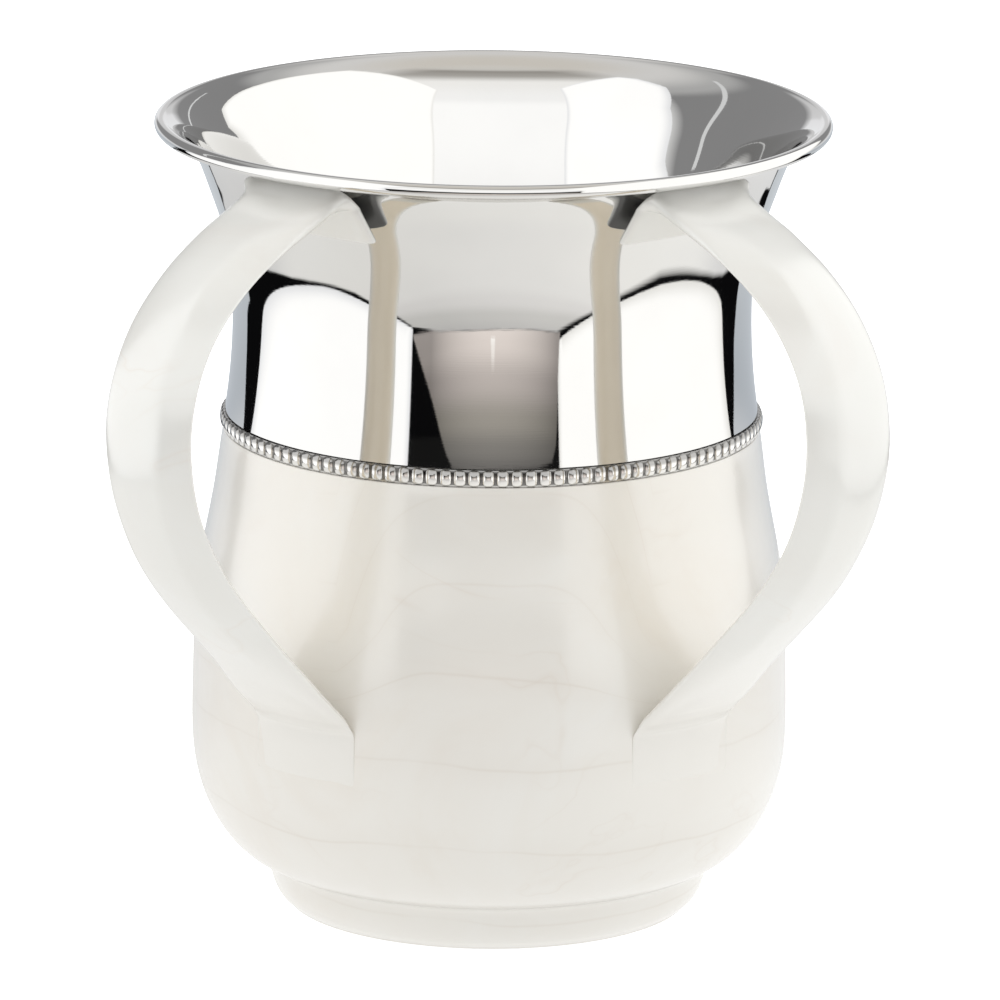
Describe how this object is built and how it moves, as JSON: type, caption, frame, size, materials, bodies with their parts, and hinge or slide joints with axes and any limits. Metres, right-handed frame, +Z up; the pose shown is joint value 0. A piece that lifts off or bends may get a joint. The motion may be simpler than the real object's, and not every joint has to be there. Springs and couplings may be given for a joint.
{
  "type": "ritual washing cup",
  "caption": "Two-handled ritual washing cup: flared polished mouth with rolled rim, concave neck, beaded waist ring, pearl enamelled barrel body on a stepped foot, D handles close together",
  "frame": {"origin": "centre of the flat underside of the foot, on the axis of the cup", "axes": "+Z up along the axis of the cup; -Y towards the side between the two handles (the front); X across, with one handle on each side"},
  "size_m": [0.132, 0.1374, 0.14],
  "materials": {
    "polished_steel": "mirror polished stainless sheet",
    "bead_silver": "polished pearl-bead strip",
    "solder": "dull soft solder",
    "pearl_enamel": "pearl-white gloss enamel with faint warm marbling",
    "handle_steel": "plain steel under the enamel",
    "handle_enamel": "pearl-white gloss enamel",
    "weld_steel": "fused weld nugget"
  },
  "bodies": {
    "root": {"cup_shell": "polished_steel", "beaded_ring": "bead_silver", "ring_solder": "solder", "body_enamel": "pearl_enamel", "left_handle": "handle_steel", "right_handle": "handle_steel", "left_handle_enamel": "handle_enamel", "right_handle_enamel": "handle_enamel", "upper_spot_welds": "weld_steel", "lower_spot_welds": "weld_steel"}
  },
  "joints": []
}
